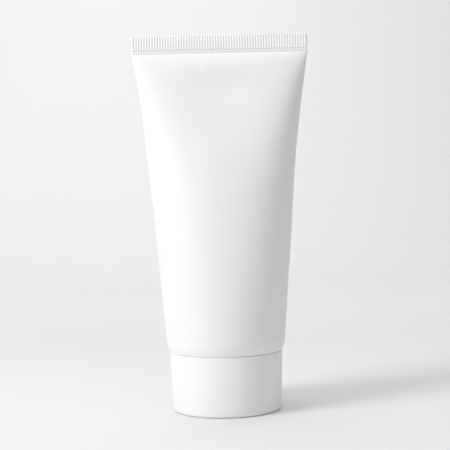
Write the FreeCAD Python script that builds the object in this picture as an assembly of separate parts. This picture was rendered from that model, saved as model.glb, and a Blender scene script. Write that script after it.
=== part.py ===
import FreeCAD, Part
import math
import os

# A soft plastic squeeze tube of shaving cream that stands upside down on its own screw cap.
# Millimetres. The origin is the middle of the face that the cap stands on, +Z runs up the tube
# to its flat end seal, X runs along the width of the seal and -Y is the front.

# Sleeve: a round thin-walled tube pressed flat at its far end. The flat width is half of the
# tube's circumference, less what the crimp's ribs take up
SLEEVE_DIAMETER = 50.0
SLEEVE_WALL = 0.5
SLEEVE_LENGTH = 126.7
SEAL_TAKE_UP = 4.14
SEAL_THICKNESS = 1.0
SEAL_TOE_LENGTH = 1.6
RIB_BAND_HEIGHT = 5.6
RIB_PITCH = 1.12
RIB_DEPTH = 0.16
FLARE_LINEAR_SHARE = 0.78
FLARE_POWER = 4.0
FLATTEN_POWER = 1.3
FLATTEN_EASE = 0.68
SIDE_SOFTNESS = 0.5
SECTION_COUNT = 9
SECTION_POINTS = 32

# Cap: a drafted skirt on a thick base plate, with its rim set in from the sleeve's outside
CAP_HEIGHT = 24.4
CAP_RIM_INSET = 1.4
CAP_DRAFT = 0.7
CAP_WALL = 1.4
CAP_EDGE_RADIUS = 2.5
BASE_PLATE = 1.6
BASE_RECESS_DEPTH = 0.6
BASE_RING_WIDTH = 2.9
SOCKET_WALL = 1.0
SOCKET_HEIGHT = 3.0
STIFFENER_COUNT = 6
STIFFENER_THICKNESS = 0.8
STIFFENER_HEIGHT = 5.0

# Head: rounded shoulder, sloping face, threaded neck with a round orifice
SHOULDER_RADIUS = 12.0
SHOULDER_SLOPE_DEGREES = 32.0
SHOULDER_LEDGE = 1.8
SHOULDER_WALL = 1.3
SPIGOT_LENGTH = 4.0
NECK_RADIUS = 8.0
NECK_ROOT_STEP = 1.5
ORIFICE_DIAMETER = 6.0
NECK_WALL = 1.5
NOZZLE_LIP = 1.6

# Screw thread: a single right-hand start, shared by the neck and the collar in the cap
THREAD_PITCH = 3.0
THREAD_DEPTH = 0.9
THREAD_ROOT_WIDTH = 1.3
THREAD_CREST_WIDTH = 0.7
THREAD_BURY = 0.25
NECK_THREAD_TURNS = 2.25
COLLAR_THREAD_TURNS = 1.75
NECK_THREAD_START = 2.6

# Collar in the cap, liner under the nozzle and peel seal on it
COLLAR_WALL = 1.6
COLLAR_FLOOR = 1.0
LINER_THICKNESS = 1.0
PEEL_DISC_THICKNESS = 0.15
PEEL_TAB_THICKNESS = 0.1
PEEL_TAB_WIDTH = 5.0
PEEL_TAB_LENGTH = 6.0

# Clearances
RIM_GAP = 0.3
THREAD_CLEARANCE = 0.25
COLLAR_END_GAP = 0.9
SOCKET_CLEARANCE = 0.05
LINER_CLEARANCE = 0.4
PEEL_MARGIN = 0.2
CREAM_CLEARANCE = 0.15
CREAM_FILL_SHARE = 0.66

# Sizes and places that follow from the ones above
SLEEVE_RADIUS = SLEEVE_DIAMETER / 2
SLEEVE_BORE = SLEEVE_RADIUS - SLEEVE_WALL
SEAL_WIDTH = math.pi * SLEEVE_RADIUS - SEAL_TAKE_UP
CAP_RIM_RADIUS = SLEEVE_RADIUS - CAP_RIM_INSET
CAP_FOOT_RADIUS = CAP_RIM_RADIUS - CAP_DRAFT
BASE_RECESS_RADIUS = CAP_FOOT_RADIUS - CAP_EDGE_RADIUS - BASE_RING_WIDTH
PLATE_TOP = BASE_RECESS_DEPTH + BASE_PLATE
COLLAR_BORE = NECK_RADIUS + THREAD_DEPTH + THREAD_CLEARANCE
COLLAR_RADIUS = COLLAR_BORE + COLLAR_WALL
SOCKET_BORE = COLLAR_RADIUS + SOCKET_CLEARANCE
LINER_BOTTOM = PLATE_TOP + COLLAR_FLOOR
LINER_TOP = LINER_BOTTOM + LINER_THICKNESS
NOZZLE_TIP = LINER_TOP + PEEL_TAB_THICKNESS + PEEL_DISC_THICKNESS
NECK_THREAD_Z = NOZZLE_TIP + NECK_THREAD_START
COLLAR_THREAD_Z = NECK_THREAD_Z + THREAD_PITCH / 2
LEDGE_Z = CAP_HEIGHT + RIM_GAP
LEDGE_RADIUS = CAP_RIM_RADIUS - RIM_GAP / 2
ARC_CENTRE_RADIUS = SLEEVE_RADIUS - SHOULDER_RADIUS
ARC_DROP = math.sqrt(SHOULDER_RADIUS**2 - (LEDGE_RADIUS - ARC_CENTRE_RADIUS) ** 2)
SLEEVE_START = LEDGE_Z + ARC_DROP
SEAL_START = SLEEVE_START + SLEEVE_LENGTH - RIB_BAND_HEIGHT - SEAL_TOE_LENGTH
SEAL_TOP = SLEEVE_START + SLEEVE_LENGTH
SPIGOT_SHARE = SPIGOT_LENGTH / (SEAL_START - SLEEVE_START)
CONE_FOOT_RADIUS = NECK_RADIUS + NECK_ROOT_STEP
LEDGE_INNER_RADIUS = LEDGE_RADIUS - SHOULDER_LEDGE
SLOPE = math.tan(math.radians(SHOULDER_SLOPE_DEGREES))
CONE_FOOT_Z = LEDGE_Z - (LEDGE_INNER_RADIUS - CONE_FOOT_RADIUS) * SLOPE
COLLAR_TOP = CONE_FOOT_Z - COLLAR_END_GAP
ORIFICE_RADIUS = ORIFICE_DIAMETER / 2
NECK_BORE = NECK_RADIUS - NECK_WALL
LIP_TOP = NOZZLE_TIP + NOZZLE_LIP
SPIGOT_TOP = SLEEVE_START + SPIGOT_LENGTH
SPIGOT_BORE = SLEEVE_BORE - SHOULDER_WALL
INNER_CONE_Z = CONE_FOOT_Z + SHOULDER_WALL / math.cos(math.radians(SHOULDER_SLOPE_DEGREES))
INNER_CONE_TOP = INNER_CONE_Z + (SPIGOT_BORE - CONE_FOOT_RADIUS) * SLOPE
NECK_BORE_TOP = INNER_CONE_Z - (CONE_FOOT_RADIUS - NECK_BORE) * SLOPE


def point(radius, height):
    """A point of a half section in the XZ plane."""
    return FreeCAD.Vector(radius, 0, height)


def line(start, end):
    return Part.LineSegment(point(*start), point(*end)).toShape()


def arc(start, middle, end):
    return Part.Arc(point(*start), point(*middle), point(*end)).toShape()


def turned(edges):
    """A solid of revolution about Z from the edges of a closed half section."""
    face = Part.Face(Part.Wire(edges))
    return face.revolve(FreeCAD.Vector(0, 0, 0), FreeCAD.Vector(0, 0, 1), 360)


def turned_outline(corners):
    """A solid of revolution about Z from the corners of a straight-sided half section."""
    ends = corners[1:] + corners[:1]
    return turned([line(start, end) for start, end in zip(corners, ends)])


def disc(radius, bottom, thickness):
    return Part.makeCylinder(radius, thickness, FreeCAD.Vector(0, 0, bottom))


def thread_ridge(root_radius, crest_radius, start, turns):
    """A helical ridge whose trapezoid section stands on the root radius and points to the crest
    radius. Its flanks run on into the wall that carries it."""
    outward = 1 if crest_radius > root_radius else -1
    buried_radius = root_radius - outward * THREAD_BURY
    flank_rate = (THREAD_ROOT_WIDTH - THREAD_CREST_WIDTH) / 2 / THREAD_DEPTH
    half_crest = THREAD_CREST_WIDTH / 2
    half_buried = THREAD_ROOT_WIDTH / 2 + THREAD_BURY * flank_rate
    corners = [
        (buried_radius, start - half_buried),
        (crest_radius, start - half_crest),
        (crest_radius, start + half_crest),
        (buried_radius, start + half_buried),
    ]
    ends = corners[1:] + corners[:1]
    section = Part.Wire([line(first, last) for first, last in zip(corners, ends)])
    helix = Part.makeHelix(THREAD_PITCH, THREAD_PITCH * turns, root_radius)
    helix.translate(FreeCAD.Vector(0, 0, start))
    return Part.Wire(helix.Edges).makePipeShell([section], True, True)


def half_width(share):
    """Half of the sleeve's width at a share of the way from its round end to its seal. Most of
    the flare is even and the rest comes near the seal."""
    flare = FLARE_LINEAR_SHARE * share + (1 - FLARE_LINEAR_SHARE) * share**FLARE_POWER
    return SLEEVE_RADIUS + (SEAL_WIDTH / 2 - SLEEVE_RADIUS) * flare


def half_depth(share):
    """Half of the sleeve's depth: full along the head's spigot, then it closes slowly at first
    and fast near the seal."""
    closing = max(share - SPIGOT_SHARE, 0) / (1 - SPIGOT_SHARE)
    open_share = (1 - closing**FLATTEN_POWER) ** FLATTEN_EASE
    return SEAL_THICKNESS / 2 + (SLEEVE_RADIUS - SEAL_THICKNESS / 2) * open_share


def flattened_loop(width, depth, height):
    """A closed smooth wire round a section of the sleeve, given its half width along X and half
    depth along Y: flat faces between sides that are nearly half circles."""
    points = []
    for index in range(SECTION_POINTS):
        angle = 2 * math.pi * index / SECTION_POINTS
        cosine = math.cos(angle)
        reach = cosine * math.hypot(1, SIDE_SOFTNESS) / math.hypot(cosine, SIDE_SOFTNESS)
        x = depth * cosine + (width - depth) * reach
        points.append(FreeCAD.Vector(x, depth * math.sin(angle), height))
    loop = Part.BSplineCurve()
    loop.interpolate(Points=points, PeriodicFlag=True)
    return Part.Wire(loop.toShape())


def flattened_body(inset, last_share):
    """The space inside the sleeve's outer surface, drawn in by the inset, up to a share of the
    way to the seal."""
    step = (last_share - SPIGOT_SHARE) / (SECTION_COUNT - 1)
    shares = [0] + [SPIGOT_SHARE + step * index for index in range(SECTION_COUNT)]
    sections = []
    for share in shares:
        height = SLEEVE_START + (SEAL_START - SLEEVE_START) * share
        width = half_width(share) - inset
        depth = max(half_depth(share) - inset, inset / 2)
        sections.append(flattened_loop(width, depth, height))
    return Part.makeLoft(sections, True, False)


def crimped_seal():
    """The flat end: a smooth toe, then a band of fine upright ribs pressed into both faces."""
    width = SEAL_WIDTH
    thickness = SEAL_THICKNESS
    corner = FreeCAD.Vector(-width / 2, -thickness / 2, SEAL_START)
    seal = Part.makeBox(width, thickness, SEAL_TOE_LENGTH + RIB_BAND_HEIGHT, corner)
    rib_bottom = SEAL_START + SEAL_TOE_LENGTH
    rib_count = int(width / RIB_PITCH)
    groove_width = RIB_PITCH / 2
    grooves = []
    for index in range(rib_count):
        x = (index - (rib_count - 1) / 2) * RIB_PITCH - groove_width / 2
        for side in (-1, 1):
            y = side * thickness / 2 - RIB_DEPTH if side > 0 else -thickness / 2
            at = FreeCAD.Vector(x, y, rib_bottom)
            grooves.append(Part.makeBox(groove_width, RIB_DEPTH, RIB_BAND_HEIGHT, at))
    return seal.cut(Part.makeCompound(grooves))


def tube_sleeve():
    """The squeezable wall, open at its round end, with its crimped end seal."""
    wall = flattened_body(0.0, 1.0).cut(flattened_body(SLEEVE_WALL, 0.985))
    return wall.fuse(crimped_seal()).removeSplitter()


def tube_head():
    """Shoulder, neck and orifice in one moulding, with a spigot that the sleeve is welded to."""
    middle_angle = math.asin(ARC_DROP / SHOULDER_RADIUS) / 2
    arc_middle = (
        ARC_CENTRE_RADIUS + SHOULDER_RADIUS * math.cos(middle_angle),
        SLEEVE_START - SHOULDER_RADIUS * math.sin(middle_angle),
    )
    outline = [
        ((LEDGE_RADIUS, LEDGE_Z), (LEDGE_INNER_RADIUS, LEDGE_Z)),
        ((LEDGE_INNER_RADIUS, LEDGE_Z), (CONE_FOOT_RADIUS, CONE_FOOT_Z)),
        ((CONE_FOOT_RADIUS, CONE_FOOT_Z), (NECK_RADIUS, CONE_FOOT_Z - NECK_ROOT_STEP)),
        ((NECK_RADIUS, CONE_FOOT_Z - NECK_ROOT_STEP), (NECK_RADIUS, NOZZLE_TIP)),
        ((NECK_RADIUS, NOZZLE_TIP), (ORIFICE_RADIUS, NOZZLE_TIP)),
        ((ORIFICE_RADIUS, NOZZLE_TIP), (ORIFICE_RADIUS, LIP_TOP)),
        ((ORIFICE_RADIUS, LIP_TOP), (NECK_BORE, LIP_TOP)),
        ((NECK_BORE, LIP_TOP), (NECK_BORE, NECK_BORE_TOP)),
        ((NECK_BORE, NECK_BORE_TOP), (SPIGOT_BORE, INNER_CONE_TOP)),
        ((SPIGOT_BORE, INNER_CONE_TOP), (SPIGOT_BORE, SPIGOT_TOP)),
        ((SPIGOT_BORE, SPIGOT_TOP), (SLEEVE_BORE, SPIGOT_TOP)),
        ((SLEEVE_BORE, SPIGOT_TOP), (SLEEVE_BORE, SLEEVE_START)),
        ((SLEEVE_BORE, SLEEVE_START), (SLEEVE_RADIUS, SLEEVE_START)),
    ]
    edges = [line(start, end) for start, end in outline]
    edges.append(arc((SLEEVE_RADIUS, SLEEVE_START), arc_middle, (LEDGE_RADIUS, LEDGE_Z)))
    crest = NECK_RADIUS + THREAD_DEPTH
    ridge = thread_ridge(NECK_RADIUS, crest, NECK_THREAD_Z, NECK_THREAD_TURNS)
    return turned(edges).fuse(ridge)


def orifice_seal():
    """A peel-off foil disc bonded over the nozzle, with its pull tab folded flat under it."""
    foil = disc(NECK_RADIUS - PEEL_MARGIN, NOZZLE_TIP - PEEL_DISC_THICKNESS, PEEL_DISC_THICKNESS)
    corner = FreeCAD.Vector(-PEEL_TAB_WIDTH / 2, -NECK_RADIUS + 2 * PEEL_MARGIN, LINER_TOP)
    tab = Part.makeBox(PEEL_TAB_WIDTH, PEEL_TAB_LENGTH, PEEL_TAB_THICKNESS, corner)
    return foil.fuse(tab)


def shaving_cream():
    """The filling: it takes up the neck, the head and most of the sleeve, below the air that
    collects under the end seal."""
    gap = CREAM_CLEARANCE
    top = SPIGOT_TOP + gap
    plug = turned_outline(
        [
            (0, NOZZLE_TIP),
            (ORIFICE_RADIUS - gap, NOZZLE_TIP),
            (ORIFICE_RADIUS - gap, LIP_TOP + gap),
            (NECK_BORE - gap, LIP_TOP + gap),
            (NECK_BORE - gap, NECK_BORE_TOP + gap),
            (SPIGOT_BORE - gap, INNER_CONE_TOP + gap),
            (SPIGOT_BORE - gap, top),
            (0, top),
        ]
    )
    body = flattened_body(SLEEVE_WALL + gap, CREAM_FILL_SHARE)
    below_spigot_top = disc(SLEEVE_DIAMETER, SLEEVE_START - 1, top - SLEEVE_START + 1)
    return body.cut(below_spigot_top).fuse(plug)


def cap_shell():
    """The smooth outer cap: foot with a rounded edge and a shallow recess, a drafted skirt, and
    a socket ring with stiffeners inside for the threaded collar."""
    foot_flat = CAP_FOOT_RADIUS - CAP_EDGE_RADIUS
    bend = CAP_EDGE_RADIUS * math.sqrt(0.5)
    skirt_bore = CAP_FOOT_RADIUS - CAP_WALL
    rim_bore = CAP_RIM_RADIUS - CAP_WALL
    corners = [
        (CAP_FOOT_RADIUS, CAP_EDGE_RADIUS),
        (CAP_RIM_RADIUS, CAP_HEIGHT),
        (rim_bore, CAP_HEIGHT),
        (skirt_bore, PLATE_TOP),
        (0, PLATE_TOP),
        (0, BASE_RECESS_DEPTH),
        (BASE_RECESS_RADIUS - BASE_RECESS_DEPTH, BASE_RECESS_DEPTH),
        (BASE_RECESS_RADIUS, 0),
        (foot_flat, 0),
    ]
    edges = [line(start, end) for start, end in zip(corners[:-1], corners[1:])]
    bend_middle = (foot_flat + bend, CAP_EDGE_RADIUS - bend)
    edges.append(arc((foot_flat, 0), bend_middle, (CAP_FOOT_RADIUS, CAP_EDGE_RADIUS)))
    shell = turned(edges)
    socket = disc(SOCKET_BORE + SOCKET_WALL, PLATE_TOP, SOCKET_HEIGHT)
    shell = shell.fuse(socket.cut(disc(SOCKET_BORE, PLATE_TOP, SOCKET_HEIGHT)))
    inner_end = SOCKET_BORE + SOCKET_WALL / 2
    reach = CAP_FOOT_RADIUS - CAP_WALL / 2 - inner_end
    corner = FreeCAD.Vector(inner_end, -STIFFENER_THICKNESS / 2, PLATE_TOP)
    stiffener = Part.makeBox(reach, STIFFENER_THICKNESS, STIFFENER_HEIGHT, corner)
    for index in range(STIFFENER_COUNT):
        placed = stiffener.copy()
        turn = 360 * (index + 0.5) / STIFFENER_COUNT
        placed.rotate(FreeCAD.Vector(0, 0, 0), FreeCAD.Vector(0, 0, 1), turn)
        shell = shell.fuse(placed)
    return shell


def thread_collar():
    """The closed collar in the cap whose inner thread takes the tube's neck."""
    wall = turned_outline(
        [
            (0, PLATE_TOP),
            (COLLAR_RADIUS, PLATE_TOP),
            (COLLAR_RADIUS, COLLAR_TOP),
            (COLLAR_BORE, COLLAR_TOP),
            (COLLAR_BORE, LINER_BOTTOM),
            (0, LINER_BOTTOM),
        ]
    )
    crest = COLLAR_BORE - THREAD_DEPTH
    return wall.fuse(thread_ridge(COLLAR_BORE, crest, COLLAR_THREAD_Z, COLLAR_THREAD_TURNS))


def cap_liner():
    """The soft disc on the collar's floor that the nozzle closes against."""
    return disc(COLLAR_BORE - LINER_CLEARANCE, LINER_BOTTOM, LINER_THICKNESS)


NODES = {
    "cap_shell": cap_shell,
    "cap_thread_collar": thread_collar,
    "cap_liner": cap_liner,
    "tube_sleeve": tube_sleeve,
    "tube_head": tube_head,
    "orifice_seal": orifice_seal,
    "shaving_cream": shaving_cream,
}

os.makedirs("parts", exist_ok=True)
for name, build in NODES.items():
    shape = build()
    shape.exportStep(f"parts/{name}.step")
    box = shape.BoundBox
    print(
        f"{name}: valid {shape.isValid()}, solids {len(shape.Solids)}, volume {shape.Volume:.1f},"
        f" x {box.XMin:.2f} {box.XMax:.2f}, y {box.YMin:.2f} {box.YMax:.2f},"
        f" z {box.ZMin:.2f} {box.ZMax:.2f}"
    )
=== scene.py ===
import math

import bmesh
import bpy
import numpy as np
from mathutils import Matrix, Vector


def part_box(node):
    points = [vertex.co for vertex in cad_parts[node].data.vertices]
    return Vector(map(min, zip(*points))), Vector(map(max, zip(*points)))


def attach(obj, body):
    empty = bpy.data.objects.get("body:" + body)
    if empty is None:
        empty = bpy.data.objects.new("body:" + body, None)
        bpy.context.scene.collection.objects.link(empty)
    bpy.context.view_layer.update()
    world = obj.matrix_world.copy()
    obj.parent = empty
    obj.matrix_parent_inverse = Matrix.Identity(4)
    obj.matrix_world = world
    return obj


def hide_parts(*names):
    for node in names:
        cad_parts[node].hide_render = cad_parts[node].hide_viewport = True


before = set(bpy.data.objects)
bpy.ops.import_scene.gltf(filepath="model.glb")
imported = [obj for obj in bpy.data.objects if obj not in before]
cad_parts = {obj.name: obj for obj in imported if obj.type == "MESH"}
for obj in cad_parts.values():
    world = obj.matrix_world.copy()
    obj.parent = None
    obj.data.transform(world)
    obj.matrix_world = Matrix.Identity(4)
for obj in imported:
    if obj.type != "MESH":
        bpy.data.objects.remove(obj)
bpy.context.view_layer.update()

# A soft white shaving cream tube that stands upside down on its plain screw cap. Metres, in the
# part's own frame: +Z runs up the tube to its end seal, X along the seal, and -Y is the front.

MM = 0.001

# Places and sizes that the frame gives
CAP_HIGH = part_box("cap_shell")[1]
SLEEVE_LOW, SLEEVE_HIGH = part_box("tube_sleeve")
HEAD_LOW, HEAD_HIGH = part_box("tube_head")
COLLAR_LOW, COLLAR_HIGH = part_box("cap_thread_collar")
LINER_LOW, LINER_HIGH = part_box("cap_liner")
PEEL_LOW, PEEL_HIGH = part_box("orifice_seal")
CREAM_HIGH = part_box("shaving_cream")[1]

TUBE_RADIUS = HEAD_HIGH.x
SLEEVE_START = SLEEVE_LOW.z
SPIGOT_TOP = HEAD_HIGH.z
SEAL_TOP = SLEEVE_HIGH.z
SEAL_HALF_WIDTH = SLEEVE_HIGH.x
CAP_HEIGHT = CAP_HIGH.z
CAP_RIM_RADIUS = CAP_HIGH.x
COLLAR_RADIUS = COLLAR_HIGH.x
PLATE_TOP = COLLAR_LOW.z
NOZZLE_TIP = HEAD_LOW.z

# Sleeve and its end seal
WALL = 0.5 * MM
RIB_BAND = 5.9 * MM
TOE_BAND = 1.6 * MM
RIB_PITCH = 1.12 * MM
RIB_COUNT = round(2 * SEAL_HALF_WIDTH / RIB_PITCH)
RIB_HALF_DEPTH = 0.11 * MM
RIB_FADE = 0.35 * MM
RIB_OVERLAP = 0.06 * MM
STRIP_ROUNDING = 0.25 * MM
STRIP_END_TAPER = 0.4 * MM
SEAL_HALF_THICKNESS = 0.42 * MM
TOE_HALF_THICKNESS = 0.62 * MM
TOE_GROOVE = 0.08 * MM
TOE_SWELL = 0.16 * MM
TOE_STEP_IN = 0.34 * MM
SEAL_START = SEAL_TOP - RIB_BAND - TOE_BAND
SPIGOT_SHARE = (SPIGOT_TOP - SLEEVE_START) / (SEAL_START - SLEEVE_START)
FLARE_LINEAR_SHARE = 0.78
FLARE_POWER = 4.0
FLATTEN_POWER = 1.65
FLATTEN_EASE = 0.8
SIDE_SOFTNESS = 0.62
SOFTNESS_LOSS_AT_SEAL = 0.1
LEAST_DEPTH = 0.02 * MM
WAVE_HEIGHT = 0.10 * MM
DIMPLE_DEPTH = 1.6 * MM
DIMPLE_HALF_WIDTH = 19 * MM
DIMPLE_X = 1.5 * MM
DIMPLE_RISE = (0.55, 0.85)
DIMPLE_FALL = (0.86, 0.97)

# Head, neck and screw thread
SHOULDER_RADIUS = 12.0 * MM
SHOULDER_SLOPE = math.radians(32.0)
SHOULDER_WALL = 1.3 * MM
RIM_GAP = 0.3 * MM
LEDGE_WIDTH = 1.8 * MM
LEDGE_LIP = 0.18 * MM
NECK_RADIUS = 8.0 * MM
NECK_BORE = 6.5 * MM
NECK_ROOT_STEP = 1.5 * MM
ORIFICE_RADIUS = 3.0 * MM
NOZZLE_LIP = 1.6 * MM
THREAD_PITCH = 3.0 * MM
THREAD_DEPTH = 0.9 * MM
THREAD_ROOT_HALF_WIDTH = 0.65 * MM
THREAD_CREST_HALF_WIDTH = 0.35 * MM
NECK_THREAD_START = 2.6 * MM
NECK_THREAD_TURNS = 2.25
COLLAR_THREAD_TURNS = 1.75
THREAD_RUN_OUT_TURNS = 0.125
THREAD_BURIED = 0.25 * MM

# Places and sizes of the head that follow from these
LEDGE_Z = CAP_HEIGHT + RIM_GAP
LEDGE_RADIUS = CAP_RIM_RADIUS - RIM_GAP / 2
CONE_FOOT_RADIUS = NECK_RADIUS + NECK_ROOT_STEP
LEDGE_INNER_RADIUS = LEDGE_RADIUS - LEDGE_WIDTH
CONE_FOOT_Z = LEDGE_Z - (LEDGE_INNER_RADIUS - CONE_FOOT_RADIUS) * math.tan(SHOULDER_SLOPE)
SPIGOT_BORE = TUBE_RADIUS - WALL - SHOULDER_WALL
INNER_CONE_Z = CONE_FOOT_Z + SHOULDER_WALL / math.cos(SHOULDER_SLOPE)

# Foil and cream
FOIL_EMBOSS_PITCH = 1.2 * MM
FOIL_EMBOSS_HEIGHT = 0.03 * MM
TAB_THICKNESS = 0.1 * MM
TAB_HALF_WIDTH = 2.5 * MM
TAB_HALF_LENGTH = 3.0 * MM
TAB_CENTRE_Y = -4.6 * MM
CREAM_GAP = 0.15 * MM

# Cap
CAP_FOOT_RADIUS = 22.9 * MM
CAP_WALL = 1.4 * MM
CAP_EDGE_RADIUS = 1.2 * MM
BASE_RECESS_DEPTH = 0.6 * MM
BASE_RECESS_RADIUS = 17.5 * MM
GATE_RADIUS = 1.0 * MM
GATE_DEPTH = 0.2 * MM
FOOT_DRAFT = 0.09 * MM
SOCKET_CLEARANCE = 0.05 * MM
SOCKET_WALL = 1.0 * MM
SOCKET_HEIGHT = 3.0 * MM
COLLAR_WALL = 1.6 * MM
COLLAR_FLOOR = 1.0 * MM
STIFFENER_COUNT = 6
STIFFENER_THICKNESS = 0.8 * MM
STIFFENER_HEIGHT = 5.0 * MM
STIFFENER_INNER_GAP = 0.6 * MM
STIFFENER_BURIED = 0.3 * MM

ROUND_SEGMENTS = 192


# ---- Meshes ----

def smooth_step(low, high, value):
    """0 below low, 1 above high and a smooth cubic between them."""
    part = np.clip((value - low) / (high - low), 0, 1)
    return part * part * (3 - 2 * part)


def grid_faces(rows, columns):
    """The quads of a grid of points stored row by row, each row a closed loop."""
    row, column = np.meshgrid(np.arange(rows - 1), np.arange(columns), indexing="ij")
    after = (column + 1) % columns
    low = row * columns
    high = low + columns
    corners = [low + column, low + after, high + after, high + column]
    return np.stack(corners, axis=-1).reshape(-1, 4).tolist()


def flat_end_faces(columns, first):
    """The faces that close a flattened loop of points, which starts at index first on its +X
    corner: each point at the back is joined to its mirror point at the front."""
    half = columns // 2
    step = np.arange(1, half - 1)
    near = first + step
    far = first + columns - step
    quads = np.stack([near, near + 1, far - 1, far], axis=-1).tolist()
    right = [first, first + 1, first + columns - 1]
    left = [first + half, first + half + 1, first + half - 1]
    return quads + [right, left]


def finish_piece(piece, body, nodes):
    """Puts the piece in the scene and on its body, in place of its CAD nodes."""
    bpy.context.scene.collection.objects.link(piece)
    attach(piece, body)
    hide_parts(*nodes)
    return piece


def new_piece(name, points, faces, body, material, nodes, sharp_degrees=50):
    """A smooth-shaded piece from points and faces. Points that meet are merged, so that poles
    and seams close, and the faces are turned outwards."""
    mesh = bpy.data.meshes.new(name)
    mesh.from_pydata(np.asarray(points).reshape(-1, 3).tolist(), [], faces)
    work = bmesh.new()
    work.from_mesh(mesh)
    bmesh.ops.remove_doubles(work, verts=work.verts, dist=1e-7)
    bmesh.ops.recalc_face_normals(work, faces=work.faces)
    work.to_mesh(mesh)
    work.free()
    mesh.polygons.foreach_set("use_smooth", np.ones(len(mesh.polygons), bool))
    mesh.set_sharp_from_angle(angle=math.radians(sharp_degrees))
    mesh.materials.append(material)
    return finish_piece(bpy.data.objects.new(name, mesh), body, nodes)


def rounded_outline(corners, steps=7):
    """Points of an outline given as (radius, height, fillet) corners: straight runs joined by
    arcs. An arc of fillet f leaves its corner f * tan(turn / 2) away along both runs, and its
    points are spread evenly between the two directions from its centre."""
    points = [np.array(corners[0][:2])]
    for before, here, after in zip(corners[:-2], corners[1:-1], corners[2:]):
        corner = np.array(here[:2])
        fillet = here[2]
        back = np.array(before[:2]) - corner
        ahead = np.array(after[:2]) - corner
        back = back / np.linalg.norm(back)
        ahead = ahead / np.linalg.norm(ahead)
        half_angle = math.acos(float(np.clip(back @ ahead, -1, 1))) / 2
        if fillet == 0 or half_angle > math.radians(89.5):
            points.append(corner)
            continue
        middle = (back + ahead) / np.linalg.norm(back + ahead)
        centre = corner + middle * fillet / math.sin(half_angle)
        reach = fillet / math.tan(half_angle)
        first = corner + back * reach - centre
        last = corner + ahead * reach - centre
        sweep = math.pi - 2 * half_angle
        share = np.linspace(0, 1, steps)[:, None]
        spread = np.sin((1 - share) * sweep) * first + np.sin(share * sweep) * last
        points.extend(centre + spread / math.sin(sweep))
    points.append(np.array(corners[-1][:2]))
    return np.array(points)


def turned(outline, segments=ROUND_SEGMENTS):
    """Points and faces of an outline of (radius, height) carried round Z: x = r cos(a),
    y = r sin(a), z = height, for a from 0 to a full turn."""
    angle = np.linspace(0, 2 * np.pi, segments, endpoint=False)
    radius = outline[:, :1]
    height = np.broadcast_to(outline[:, 1:], (len(outline), segments))
    points = np.stack([radius * np.cos(angle), radius * np.sin(angle), height], axis=-1)
    return points, grid_faces(len(outline), segments)


def thread_ridge(root, crest, start, turns):
    """Points and faces of a helical ridge: at a share t of its turns a rounded trapezoid stands
    at angle a = 2 pi turns t and height start + pitch a / (2 pi). It runs out to nothing over an
    eighth of a turn at each end."""
    rows = int(turns * 72) + 1
    travel = np.linspace(0, turns, rows)[:, None]
    run_out = smooth_step(0, THREAD_RUN_OUT_TURNS, np.minimum(travel, turns - travel))
    outward = 1 if crest > root else -1
    flank = (THREAD_ROOT_HALF_WIDTH - THREAD_CREST_HALF_WIDTH) / THREAD_DEPTH
    half_buried = THREAD_ROOT_HALF_WIDTH + THREAD_BURIED * flank
    corners = [
        (-THREAD_BURIED, -half_buried, 0),
        (THREAD_DEPTH, -THREAD_CREST_HALF_WIDTH, 0.2 * MM),
        (THREAD_DEPTH, THREAD_CREST_HALF_WIDTH, 0.2 * MM),
        (-THREAD_BURIED, half_buried, 0),
    ]
    section = rounded_outline(corners, 4)
    radius = root + outward * (section[:, 0] * run_out - THREAD_BURIED * (1 - run_out))
    rise = section[:, 1] * run_out
    angle = 2 * np.pi * travel
    height = start + THREAD_PITCH * travel + rise
    points = np.stack([radius * np.cos(angle), radius * np.sin(angle), height], axis=-1)
    return points, grid_faces(rows, len(section))


# ---- Sleeve ----

def half_width(share):
    """Half of the sleeve's width at a share of the way from its round end to its seal: mostly an
    even flare, with the rest near the seal."""
    flare = FLARE_LINEAR_SHARE * share + (1 - FLARE_LINEAR_SHARE) * share**FLARE_POWER
    return TUBE_RADIUS + (SEAL_HALF_WIDTH - TUBE_RADIUS) * flare


def half_depth(share):
    """Half of the sleeve's depth: full along the head's spigot, then it closes slowly at first
    and fast near the seal."""
    closing = np.clip((share - SPIGOT_SHARE) / (1 - SPIGOT_SHARE), 0, 1)
    open_share = (1 - closing**FLATTEN_POWER) ** FLATTEN_EASE
    return TOE_HALF_THICKNESS + (TUBE_RADIUS - TOE_HALF_THICKNESS) * open_share


def soft_wall(across, share):
    """How far the soft wall stands off its even shape: the sum of three long shallow sine waves
    that run slantwise round and along it, and die away at the stiff shoulder and at the seal."""
    hold = np.clip(share / 0.25, 0, 1) * np.clip((1 - share) / 0.12, 0, 1)
    waves = np.sin(2.1 * across + 5.3 * share + 0.6)
    waves = waves + 0.7 * np.sin(3.4 * across - 8.1 * share + 2.0)
    waves = waves + 0.5 * np.sin(5.0 * across + 11.0 * share + 4.1)
    return WAVE_HEIGHT * hold * waves


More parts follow.
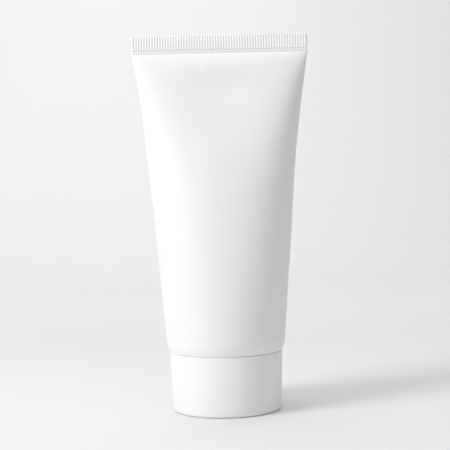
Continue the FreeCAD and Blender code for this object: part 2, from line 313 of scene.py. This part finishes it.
def sleeve_loops(share, inset, columns):
    """Closed loops of the sleeve's wall, with flat faces between sides that are nearly half
    circles: x = d cos(a) + (w - d) r, y = d sin(a), where r = cos(a) hypot(1, k) /
    hypot(cos(a), k) and k is the softness, which drops towards the seal. A shallow dimple a
    little under the seal is taken out of the middle of both faces."""
    share = share[:, None]
    angle = np.linspace(0, 2 * np.pi, columns, endpoint=False)[None, :]
    sine, cosine = np.sin(angle), np.cos(angle)
    softness = SIDE_SOFTNESS * (1 - SOFTNESS_LOSS_AT_SEAL * share**2)
    reach = cosine * np.hypot(1, softness) / np.hypot(cosine, softness)
    width = half_width(share) - inset
    depth = np.maximum(half_depth(share) - inset, LEAST_DEPTH)
    x = depth * cosine + (width - depth) * reach
    under_seal = smooth_step(*DIMPLE_RISE, share) * (1 - smooth_step(*DIMPLE_FALL, share))
    dimple = DIMPLE_DEPTH * under_seal * np.exp(-(((x - DIMPLE_X) / DIMPLE_HALF_WIDTH) ** 2))
    bulge = 1 + soft_wall(angle, share) / (half_depth(share) + 6 * MM)
    y = sine * np.maximum(depth - np.abs(sine) * dimple, LEAST_DEPTH) * bulge
    height = SLEEVE_START + (SEAL_START - SLEEVE_START) * share
    return np.stack([x * bulge, y, np.broadcast_to(height, x.shape)], axis=-1)


def toe_loops(columns):
    """The welded band above the body: over a fine groove it swells, tapers in upwards and then
    steps in under the ribbed band, t = toe + swell(s) - g exp(-((s - c) / w)^2) - step(s)."""
    share = np.linspace(0, 1, 48)[1:, None]
    angle = np.linspace(0, 2 * np.pi, columns, endpoint=False)[None, :]
    sine = np.sin(angle)
    groove = TOE_GROOVE * np.exp(-(((share - 0.26) / 0.07) ** 2))
    taper = 1 - np.clip((share - 0.36) / 0.38, 0, 1)
    swell = TOE_SWELL * smooth_step(0.26, 0.36, share) * taper
    step_in = TOE_STEP_IN * smooth_step(0.74, 0.82, share)
    thick = TOE_HALF_THICKNESS + swell - groove - step_in
    x = (SEAL_HALF_WIDTH - 0.4 * step_in) * np.cos(angle)
    y = thick * np.sign(sine) * np.abs(sine) ** 0.35
    height = SEAL_START + TOE_BAND * share
    return np.stack([x, y, np.broadcast_to(height, x.shape)], axis=-1)


def make_sleeve(material):
    """One closed wall: down its inside from the end of the hollow, round the open rim, up its
    outside and into the welded band."""
    columns = 320
    even_stretch = np.linspace(0, 0.9, 90)
    near_seal = np.linspace(0.9, 1.0, 36)[1:]
    outer_share = np.concatenate([even_stretch, near_seal])
    inner_share = np.linspace(0.97, 0, 60)
    inner = sleeve_loops(inner_share, WALL, columns)
    outer = sleeve_loops(outer_share, 0.0, columns)
    loops = np.concatenate([inner, outer, toe_loops(columns)])
    faces = grid_faces(len(loops), columns)
    faces += flat_end_faces(columns, 0)
    faces += flat_end_faces(columns, (len(loops) - 1) * columns)
    new_piece("sleeve", loops, faces, "tube", material, ["tube_sleeve"], 35)


def make_end_crimp(material):
    """The ribbed band of the end seal, a flat strip pressed into upright ribs: the front and the
    back both follow a cos(2 pi x / pitch), and the ribs fade out at the strip's edges."""
    points_per_rib = 10
    per_face = RIB_COUNT * points_per_rib
    x_face = np.linspace(SEAL_HALF_WIDTH, -SEAL_HALF_WIDTH, per_face + 1)
    x = np.concatenate([x_face, x_face[1:-1][::-1]])
    side = np.concatenate([np.ones(per_face + 1), -np.ones(per_face - 1)])
    side[0] = 0
    side[per_face] = 0
    low = SEAL_TOP - RIB_BAND - RIB_OVERLAP
    lift = STRIP_ROUNDING * (1 - np.cos(np.linspace(0, np.pi, 9)))
    middle = np.linspace(low + lift[-1], SEAL_TOP - lift[-1], 10)[1:-1]
    z = np.concatenate([low + lift, middle, (SEAL_TOP - lift)[::-1]])[:, None]
    from_edge = np.minimum(z - (SEAL_TOP - RIB_BAND), SEAL_TOP - z)
    ribs = smooth_step(0, RIB_FADE, from_edge)
    rounding = np.clip(1 - (SEAL_TOP - z) / STRIP_ROUNDING, 0, 1)
    thick = SEAL_HALF_THICKNESS - 0.2 * MM * (1 - np.sqrt(1 - rounding**2))
    wave = RIB_HALF_DEPTH * ribs * np.cos(2 * np.pi * x / RIB_PITCH)
    near_end = np.clip((SEAL_HALF_WIDTH - np.abs(x)) / STRIP_END_TAPER, 0, 1)
    y = side * thick * (0.5 + 0.5 * near_end) + wave
    points = np.stack([np.broadcast_to(x, y.shape), y, np.broadcast_to(z, y.shape)], axis=-1)
    columns = len(x)
    faces = grid_faces(len(z), columns)
    faces += flat_end_faces(columns, 0)
    faces += flat_end_faces(columns, (len(z) - 1) * columns)
    new_piece("end_crimp", points, faces, "tube", material, ["tube_sleeve"], 80)


# ---- Head, foil and cream ----

def inner_cone_height(radius):
    """Height of the head's inner sloping face at a radius."""
    return INNER_CONE_Z + (radius - CONE_FOOT_RADIUS) * math.tan(SHOULDER_SLOPE)


def make_head(material):
    """The shoulder, neck and orifice: an outline carried round Z. The shoulder is an arc of its
    own radius from the sleeve's end down to the ledge above the cap's rim."""
    centre = TUBE_RADIUS - SHOULDER_RADIUS
    last = math.acos((LEDGE_RADIUS - centre) / SHOULDER_RADIUS)
    angle = np.linspace(0, last, 16)[:, None]
    arc = np.hstack([centre + SHOULDER_RADIUS * np.cos(angle), -SHOULDER_RADIUS * np.sin(angle)])
    arc[:, 1] += SLEEVE_START
    below = [
        (*arc[-1], 0),
        (LEDGE_RADIUS - 0.01 * MM, LEDGE_Z - LEDGE_LIP, 0.05 * MM),
        (LEDGE_RADIUS - 0.6 * MM, LEDGE_Z - LEDGE_LIP, 0.1 * MM),
        (LEDGE_RADIUS - 0.8 * MM, LEDGE_Z, 0.05 * MM),
        (LEDGE_INNER_RADIUS, LEDGE_Z, 0.4 * MM),
        (CONE_FOOT_RADIUS, CONE_FOOT_Z, 0.8 * MM),
        (NECK_RADIUS, CONE_FOOT_Z - NECK_ROOT_STEP, 0.8 * MM),
        (NECK_RADIUS, NOZZLE_TIP, 0.4 * MM),
        (ORIFICE_RADIUS, NOZZLE_TIP, 0.2 * MM),
        (ORIFICE_RADIUS, NOZZLE_TIP + NOZZLE_LIP, 0.2 * MM),
        (NECK_BORE, NOZZLE_TIP + NOZZLE_LIP, 0.3 * MM),
        (NECK_BORE, inner_cone_height(NECK_BORE), 0.5 * MM),
        (SPIGOT_BORE, inner_cone_height(SPIGOT_BORE), 0.8 * MM),
        (SPIGOT_BORE, SPIGOT_TOP, 0.2 * MM),
        (TUBE_RADIUS - WALL, SPIGOT_TOP, 0.2 * MM),
        (TUBE_RADIUS - WALL, SLEEVE_START, 0),
        (TUBE_RADIUS, SLEEVE_START, 0),
    ]
    outline = np.concatenate([arc[:-1], rounded_outline(below)])
    points, faces = turned(outline)
    new_piece("head", points, faces, "tube", material, ["tube_head"])
    start = NOZZLE_TIP + NECK_THREAD_START
    crest = NECK_RADIUS + THREAD_DEPTH
    points, faces = thread_ridge(NECK_RADIUS, crest, start, NECK_THREAD_TURNS)
    new_piece("neck_thread", points, faces, "tube", material, ["tube_head"])


def make_peel_foil(material):
    """The foil disc over the nozzle, its face embossed with concentric waves
    z = height cos(2 pi r / pitch), and its pull tab, a rounded oblong, folded flat under it."""
    radius = PEEL_HIGH.x
    bottom = PEEL_LOW.z + TAB_THICKNESS
    reach = np.linspace(0, radius, 60)
    wave = FOIL_EMBOSS_HEIGHT * (np.cos(2 * np.pi * reach / FOIL_EMBOSS_PITCH) - 1)
    under = np.stack([reach, bottom + 2 * FOIL_EMBOSS_HEIGHT + wave], axis=-1)
    outline = np.concatenate([under, [[radius, PEEL_HIGH.z], [0, PEEL_HIGH.z]]])
    points, faces = turned(outline, 96)
    new_piece("peel_foil", points, faces, "tube", material, ["orifice_seal"])
    angle = np.linspace(0, 2 * np.pi, 48, endpoint=False)
    loop_x = TAB_HALF_WIDTH * np.cos(angle)
    loop_y = TAB_HALF_LENGTH * np.sign(np.sin(angle)) * np.abs(np.sin(angle)) ** 0.6
    scales = np.array([0.0, 1.0, 1.0, 0.0])[:, None]
    heights = np.array([PEEL_LOW.z, PEEL_LOW.z, bottom, bottom])[:, None]
    x = loop_x * scales
    y = TAB_CENTRE_Y + loop_y * scales
    points = np.stack([x, y, np.broadcast_to(heights, x.shape)], axis=-1)
    faces = grid_faces(4, 48)
    new_piece("peel_tab", points, faces, "tube", material, ["orifice_seal"])


def make_cream(material):
    """The filling: the sleeve's own loops drawn in by its wall, over a plug turned to the inside
    of the head. Its top is a low dome, z = rim + rise sqrt(1 - s^2) at a share s of the rim."""
    columns = 160
    inset = WALL + CREAM_GAP
    level = (CREAM_HIGH.z - SLEEVE_START) / (SEAL_START - SLEEVE_START)
    above = (SPIGOT_TOP + 0.2 * MM - SLEEVE_START) / (SEAL_START - SLEEVE_START)
    walls = sleeve_loops(np.linspace(above, level - 0.02, 40), inset, columns)
    rim = walls[-1]
    shrink = np.cos(np.linspace(0, np.pi / 2, 14))[1:, None, None]
    dome = rim[None] * np.concatenate([shrink, shrink, np.ones_like(shrink)], axis=-1)
    dome[:, :, 2] += (CREAM_HIGH.z - rim[0, 2]) * np.sqrt(1 - shrink[:, :, 0] ** 2)
    corners = [
        (0, NOZZLE_TIP, 0),
        (ORIFICE_RADIUS - CREAM_GAP, NOZZLE_TIP, 0),
        (ORIFICE_RADIUS - CREAM_GAP, NOZZLE_TIP + NOZZLE_LIP + CREAM_GAP, 0),
        (NECK_BORE - CREAM_GAP, NOZZLE_TIP + NOZZLE_LIP + CREAM_GAP, 0.3 * MM),
        (NECK_BORE - CREAM_GAP, inner_cone_height(NECK_BORE) + CREAM_GAP, 0.5 * MM),
        (SPIGOT_BORE - CREAM_GAP, inner_cone_height(SPIGOT_BORE) + CREAM_GAP, 0.8 * MM),
        (SPIGOT_BORE - CREAM_GAP, walls[0, 0, 2], 0),
    ]
    plug, _ = turned(rounded_outline(corners, 5), columns)
    loops = np.concatenate([plug, walls, dome])
    faces = grid_faces(len(loops), columns)
    new_piece("cream", loops, faces, "tube", material, ["shaving_cream"])


# ---- Cap ----

def make_cap(material):
    """The smooth cap: an outline carried round Z, with a rounded foot, a shallow recess with its
    moulding gate, a drafted skirt with a softened rim, and the socket ring inside."""
    socket_bore = COLLAR_RADIUS + SOCKET_CLEARANCE
    socket = socket_bore + SOCKET_WALL
    rim_bore = CAP_RIM_RADIUS - CAP_WALL
    skirt_bore = CAP_FOOT_RADIUS - CAP_WALL
    corners = [
        (0, BASE_RECESS_DEPTH - GATE_DEPTH, 0),
        (GATE_RADIUS - 0.1 * MM, BASE_RECESS_DEPTH - GATE_DEPTH, 0.08 * MM),
        (GATE_RADIUS, BASE_RECESS_DEPTH, 0.08 * MM),
        (BASE_RECESS_RADIUS - BASE_RECESS_DEPTH, BASE_RECESS_DEPTH, 0.3 * MM),
        (BASE_RECESS_RADIUS, 0, 0.25 * MM),
        (CAP_FOOT_RADIUS - FOOT_DRAFT, 0, CAP_EDGE_RADIUS),
        (CAP_RIM_RADIUS, CAP_HEIGHT, 0.2 * MM),
        (rim_bore, CAP_HEIGHT, 0.3 * MM),
        (skirt_bore, PLATE_TOP, 1.0 * MM),
        (socket, PLATE_TOP, 0.3 * MM),
        (socket, PLATE_TOP + SOCKET_HEIGHT, 0.2 * MM),
        (socket_bore, PLATE_TOP + SOCKET_HEIGHT, 0.2 * MM),
        (socket_bore, PLATE_TOP, 0),
        (0, PLATE_TOP, 0),
    ]
    points, faces = turned(rounded_outline(corners, 9))
    new_piece("cap", points, faces, "cap", material, ["cap_shell"])


def make_stiffeners(material):
    """Thin upright ribs in the cap, from the socket ring out to the skirt, evenly spread."""
    inner = COLLAR_RADIUS + STIFFENER_INNER_GAP
    outer = CAP_FOOT_RADIUS - CAP_WALL / 2
    half = STIFFENER_THICKNESS / 2
    top = PLATE_TOP + STIFFENER_HEIGHT
    low = PLATE_TOP - STIFFENER_BURIED
    ends = np.meshgrid((inner, outer), (-half, half), (low, top), indexing="ij")
    corners = np.stack(ends, axis=-1).reshape(-1, 3)
    sides = [(0, 1, 3, 2), (4, 6, 7, 5), (0, 4, 5, 1), (2, 3, 7, 6), (0, 2, 6, 4), (1, 5, 7, 3)]
    points = []
    faces = []
    for index in range(STIFFENER_COUNT):
        turn = 2 * math.pi * (index + 0.5) / STIFFENER_COUNT
        matrix = np.array(Matrix.Rotation(turn, 3, "Z"))
        faces += [[8 * index + corner for corner in side] for side in sides]
        points.append(corners @ matrix.T)
    ribs = new_piece("cap_ribs", points, faces, "cap", material, ["cap_shell"], 30)
    bevel = ribs.modifiers.new("soft_edges", "BEVEL")
    bevel.width = 0.15 * MM
    bevel.segments = 2


def make_collar(material):
    """The closed collar in the cap, with its inner thread."""
    bore = COLLAR_RADIUS - COLLAR_WALL
    corners = [
        (0, PLATE_TOP, 0),
        (COLLAR_RADIUS, PLATE_TOP, 0.3 * MM),
        (COLLAR_RADIUS, COLLAR_HIGH.z, 0.4 * MM),
        (bore, COLLAR_HIGH.z, 0.4 * MM),
        (bore, PLATE_TOP + COLLAR_FLOOR, 0.3 * MM),
        (0, PLATE_TOP + COLLAR_FLOOR, 0),
    ]
    points, faces = turned(rounded_outline(corners), 144)
    new_piece("collar", points, faces, "cap", material, ["cap_thread_collar"])
    start = NOZZLE_TIP + NECK_THREAD_START + THREAD_PITCH / 2
    points, faces = thread_ridge(bore, bore - THREAD_DEPTH, start, COLLAR_THREAD_TURNS)
    nodes = ["cap_thread_collar"]
    new_piece("collar_thread", points, faces, "cap", material, nodes)


def make_liner(material):
    """The soft disc on the collar's floor, with rounded edges."""
    corners = [
        (0, LINER_LOW.z, 0),
        (LINER_HIGH.x, LINER_LOW.z, 0.25 * MM),
        (LINER_HIGH.x, LINER_HIGH.z, 0.25 * MM),
        (0, LINER_HIGH.z, 0),
    ]
    points, faces = turned(rounded_outline(corners, 5), 96)
    new_piece("liner", points, faces, "liner", material, ["cap_liner"])


# ---- Materials ----

class Value:
    """An output socket in a material. Arithmetic on it adds Math nodes, so that a mask reads as a
    formula."""

    def __init__(self, graph, socket):
        self.graph = graph
        self.socket = socket

    def maths(self, operation, first, second):
        return self.graph.add("ShaderNodeMath", {"operation": operation}, {0: first, 1: second})

    def __add__(self, other):
        return self.maths("ADD", self, other)

    def __radd__(self, other):
        return self.maths("ADD", other, self)

    def __rsub__(self, other):
        return self.maths("SUBTRACT", other, self)

    def __rmul__(self, other):
        return self.maths("MULTIPLY", other, self)


class Graph:
    """The nodes of one material."""

    def __init__(self, name):
        self.material = bpy.data.materials.new(name)
        self.material.use_nodes = True
        self.tree = self.material.node_tree
        self.tree.nodes.clear()
        self.place = self.add("ShaderNodeTexCoord", output="Object")

    def add(self, kind, settings=None, inputs=None, output=0):
        """Adds a node with its settings, then the values or links of its sockets, and returns
        the output asked for, if it has one."""
        node = self.tree.nodes.new(kind)
        for name, setting in (settings or {}).items():
            setattr(node, name, setting)
        for key, given in (inputs or {}).items():
            if isinstance(given, Value):
                self.tree.links.new(given.socket, node.inputs[key])
            else:
                node.inputs[key].default_value = given
        return Value(self, node.outputs[output]) if node.outputs else None

    def noise(self, size, detail=2.0, stretch=(1, 1, 1)):
        """Noise from 0 to 1 whose lumps are about the given size, longer where stretched."""
        scale = tuple(1 / (size * factor) for factor in stretch)
        spread = self.add("ShaderNodeMapping", {}, {"Vector": self.place, "Scale": scale})
        inputs = {"Vector": spread, "Scale": 1.0, "Detail": detail}
        return self.add("ShaderNodeTexNoise", {}, inputs)

    def spots(self, size):
        """Distance from 0 to about 1 to the nearest of many scattered points."""
        inputs = {"Vector": self.place, "Scale": 1 / size}
        return self.add("ShaderNodeTexVoronoi", {}, inputs, "Distance")

    def blend(self, factor, first, second):
        """A colour between two colours."""
        inputs = {0: factor, 6: (*first, 1), 7: (*second, 1)}
        return self.add("ShaderNodeMix", {"data_type": "RGBA"}, inputs, 2)

    def bump(self, height, distance):
        """The normal of a surface raised by height, which is 0 to 1, times distance."""
        inputs = {"Height": height, "Distance": distance, "Strength": 1.0}
        return self.add("ShaderNodeBump", {}, inputs)

    def surface(self, colour, roughness, normal, constants=None):
        """The material's shader: colour, roughness and normal may vary, the rest is constant."""
        inputs = {"Base Color": colour, "Roughness": roughness, "Normal": normal}
        inputs.update(constants or {})
        shader = self.add("ShaderNodeBsdfPrincipled", {}, inputs)
        self.add("ShaderNodeOutputMaterial", {}, {"Surface": shader})
        return self.material


def satin_wall_material():
    """Soft white polyethylene: a satin skin with faint drawn lines along the tube, a fine grain
    and a slightly uneven, slightly translucent white."""
    graph = Graph("satin_white_wall")
    cloud = graph.noise(14 * MM, 3)
    grain = graph.noise(0.16 * MM, 2)
    drawn = graph.noise(0.5 * MM, 3, (1, 1, 60))
    colour = graph.blend(cloud, (0.86, 0.862, 0.862), (0.90, 0.90, 0.895))
    roughness = 0.40 + 0.08 * cloud + 0.05 * grain
    normal = graph.bump(0.6 * grain + 0.4 * drawn, 0.012 * MM)
    constants = {"IOR": 1.5, "Subsurface Weight": 0.12, "Subsurface Scale": 0.002}
    constants["Subsurface Radius"] = (1, 1, 1)
    return graph.surface(colour, roughness, normal, constants)


def satin_cap_material():
    """Moulded white polypropylene with a fine even spark-finished texture."""
    graph = Graph("satin_white_cap")
    cloud = graph.noise(18 * MM, 2)
    grain = graph.noise(0.22 * MM, 4)
    pits = graph.spots(0.35 * MM)
    colour = graph.blend(cloud, (0.85, 0.852, 0.855), (0.885, 0.885, 0.882))
    roughness = 0.42 + 0.05 * cloud + 0.08 * grain
    normal = graph.bump(0.7 * grain + 0.3 * pits, 0.016 * MM)
    return graph.surface(colour, roughness, normal, {"IOR": 1.49})


def collar_material():
    """Smooth white polypropylene, a little glossier inside the cap."""
    graph = Graph("smooth_white_collar")
    cloud = graph.noise(6 * MM, 2)
    grain = graph.noise(0.3 * MM, 2)
    colour = graph.blend(cloud, (0.83, 0.832, 0.835), (0.87, 0.87, 0.868))
    roughness = 0.28 + 0.06 * cloud + 0.05 * grain
    return graph.surface(colour, roughness, graph.bump(grain, 0.006 * MM), {"IOR": 1.49})


def liner_material():
    """Closed-cell foam: small rounded cells under a matt skin. The colour darkens towards the low
    edges between the cells as painted shade.
    """
    graph = Graph("liner_foam")
    cells = graph.spots(0.45 * MM)
    cloud = graph.noise(3 * MM, 2)
    # Painted shade: the colour darkens from the raised cell middles to the low edges between the
    # cells.
    colour = graph.blend(cells, (0.84, 0.84, 0.82), (0.74, 0.74, 0.72))
    roughness = 0.75 + 0.15 * cloud
    return graph.surface(colour, roughness, graph.bump(1 - cells, 0.08 * MM), {})


def foil_material():
    """Heat-seal aluminium foil: bright, with a fine rolled grain and soft creases whose low parts
    are painted darker as shade.
    """
    graph = Graph("peel_foil")
    rolled = graph.noise(0.12 * MM, 2, (1, 25, 1))
    crease = graph.noise(1.8 * MM, 3)
    # Painted shade: the colour is darker where the creases dip, from the same noise that raises
    # them.
    colour = graph.blend(crease, (0.74, 0.75, 0.76), (0.84, 0.845, 0.85))
    roughness = 0.22 + 0.14 * crease + 0.08 * rolled
    normal = graph.bump(0.8 * crease + 0.2 * rolled, 0.05 * MM)
    return graph.surface(colour, roughness, normal, {"Metallic": 1.0})


def cream_material():
    """Thick white lather cream: soft folds and a wet sheen. The colour is darker in the low parts
    of the folds, painted shade.
    """
    graph = Graph("lather_cream")
    folds = graph.noise(5 * MM, 4)
    bubbles = graph.spots(0.5 * MM)
    # Painted shade: the colour is darker where the folds dip, from the same noise that raises
    # them.
    colour = graph.blend(folds, (0.86, 0.87, 0.86), (0.93, 0.93, 0.92))
    roughness = 0.32 + 0.15 * folds
    normal = graph.bump(0.9 * folds + 0.1 * bubbles, 0.4 * MM)
    return graph.surface(colour, roughness, normal, {"IOR": 1.38})


def stage_material():
    """Plain pale paper for the floor and the backdrop."""
    graph = Graph("pale_paper")
    cloud = graph.noise(220 * MM, 2)
    fibre = graph.noise(0.8 * MM, 3)
    colour = graph.blend(cloud, (0.762, 0.762, 0.764), (0.78, 0.78, 0.782))
    roughness = 0.72 + 0.08 * fibre
    return graph.surface(colour, roughness, graph.bump(fibre, 0.02 * MM), {"IOR": 1.4})


# ---- Stage, light and camera ----

def make_stage(material):
    """A seamless sweep: a flat floor that turns up through a large arc into a backdrop."""
    front = -1.6
    bend_start = 0.75
    bend_radius = 0.5
    top = 2.2
    half = 2.4
    angle = np.linspace(-np.pi / 2, 0, 25)
    bend_y = bend_start + bend_radius * np.cos(angle)
    bend_z = bend_radius + bend_radius * np.sin(angle)
    y = np.concatenate([[front], bend_y, [bend_start + bend_radius]])
    z = np.concatenate([[0.0], bend_z, [top]])
    x = np.array([-half, half])
    points = np.stack(np.broadcast_arrays(x[None, :], y[:, None], z[:, None]), axis=-1)
    low = 2 * np.arange(len(y) - 1)
    faces = np.stack([low, low + 1, low + 3, low + 2], axis=-1).tolist()
    mesh = bpy.data.meshes.new("sweep")
    mesh.from_pydata(points.reshape(-1, 3).tolist(), [], faces)
    mesh.polygons.foreach_set("use_smooth", np.ones(len(mesh.polygons), bool))
    mesh.materials.append(material)
    sweep = bpy.data.objects.new("sweep", mesh)
    bpy.context.scene.collection.objects.link(sweep)


def add_area_light(name, place, target, size, power, colour):
    """A square soft light at a place, turned towards a target."""
    light = bpy.data.lights.new(name, "AREA")
    light.shape = "RECTANGLE"
    light.size = size[0]
    light.size_y = size[1]
    light.energy = power
    light.color = colour
    lamp = bpy.data.objects.new(name, light)
    lamp.location = place
    direction = Vector(target) - Vector(place)
    lamp.rotation_euler = direction.to_track_quat("-Z", "Y").to_euler()
    bpy.context.scene.collection.objects.link(lamp)


def light_studio():
    """Two soft lights from the left and a little in front, a broad one overhead, one on the
    backdrop alone, and a pale, slightly warm surround."""
    cool = (0.955, 0.968, 1.0)
    table = (0, 0, 0.07)
    add_area_light("key", (-0.85, -0.52, 0.52), table, (0.45, 0.45), 5.1, cool)
    add_area_light("high_key", (-0.72, -0.45, 0.82), table, (0.4, 0.4), 2.75, cool)
    add_area_light("overhead", (0, 0.1, 1.3), (0, 0.1, 0), (1.2, 1.2), 7.75, cool)
    add_area_light("backdrop", (-0.3, 0.35, 0.95), (-0.25, 1.3, 0.85), (1.2, 0.5), 4.9, cool)
    world = bpy.data.worlds.new("surround")
    world.use_nodes = True
    background = world.node_tree.nodes["Background"]
    background.inputs["Color"].default_value = (1.0, 0.978, 0.92, 1)
    background.inputs["Strength"].default_value = 0.42
    scene = bpy.context.scene
    scene.world = world
    scene.view_settings.view_transform = "Standard"


def make_camera():
    """A level camera at about half the tube's height, rolled a little clockwise, so that the tube
    leans slightly to the left in the frame."""
    distance = 0.400
    height = 0.0772
    sideways = 0.0007
    roll = math.radians(1.35)
    frame_width = 190.0 * MM
    camera = bpy.data.cameras.new("camera")
    camera.sensor_width = 36.0
    camera.lens = camera.sensor_width * distance / frame_width
    camera.clip_start = 0.01
    right = Vector((math.cos(roll), 0, -math.sin(roll)))
    up = Vector((math.sin(roll), 0, math.cos(roll)))
    back = Vector((0, -1, 0))
    place = Matrix((right, up, back)).transposed().to_4x4()
    place.translation = Vector((sideways, -distance, height))
    viewer = bpy.data.objects.new("camera", camera)
    viewer.matrix_world = place
    bpy.context.scene.collection.objects.link(viewer)
    bpy.context.scene.camera = viewer


# ---- The whole object ----

make_camera()
light_studio()
make_stage(stage_material())
wall_material = satin_wall_material()
cap_material = satin_cap_material()
make_sleeve(wall_material)
make_end_crimp(wall_material)
make_head(wall_material)
make_peel_foil(foil_material())
make_cream(cream_material())
make_cap(cap_material)
make_stiffeners(cap_material)
make_collar(collar_material())
make_liner(liner_material())
